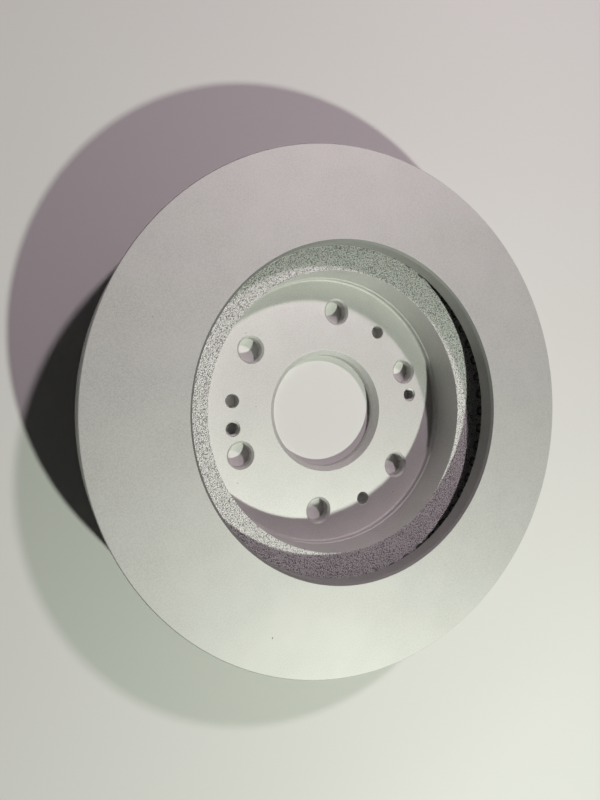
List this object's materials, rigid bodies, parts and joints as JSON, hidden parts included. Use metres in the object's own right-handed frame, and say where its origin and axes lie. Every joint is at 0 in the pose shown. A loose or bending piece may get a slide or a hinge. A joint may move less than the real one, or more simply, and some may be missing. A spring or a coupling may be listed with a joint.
{
  "type": "vented brake disc",
  "caption": "Flat ring of two friction plates with radial vanes between them, on a drum-shaped hat with a centre bore and stud holes.",
  "frame": {"origin": "centre of the wheel face, the flat end of the hat that the disc lies on", "axes": "+Z along the disc's axis to the inboard friction face, +X through the middle of a stud hole"},
  "size_m": [0.33, 0.33, 0.0555],
  "materials": {
    "coated_iron": "matt silver zinc flake coating over turned and as-cast iron"
  },
  "bodies": {
    "root": {"brake_disc": "coated_iron"}
  },
  "joints": []
}
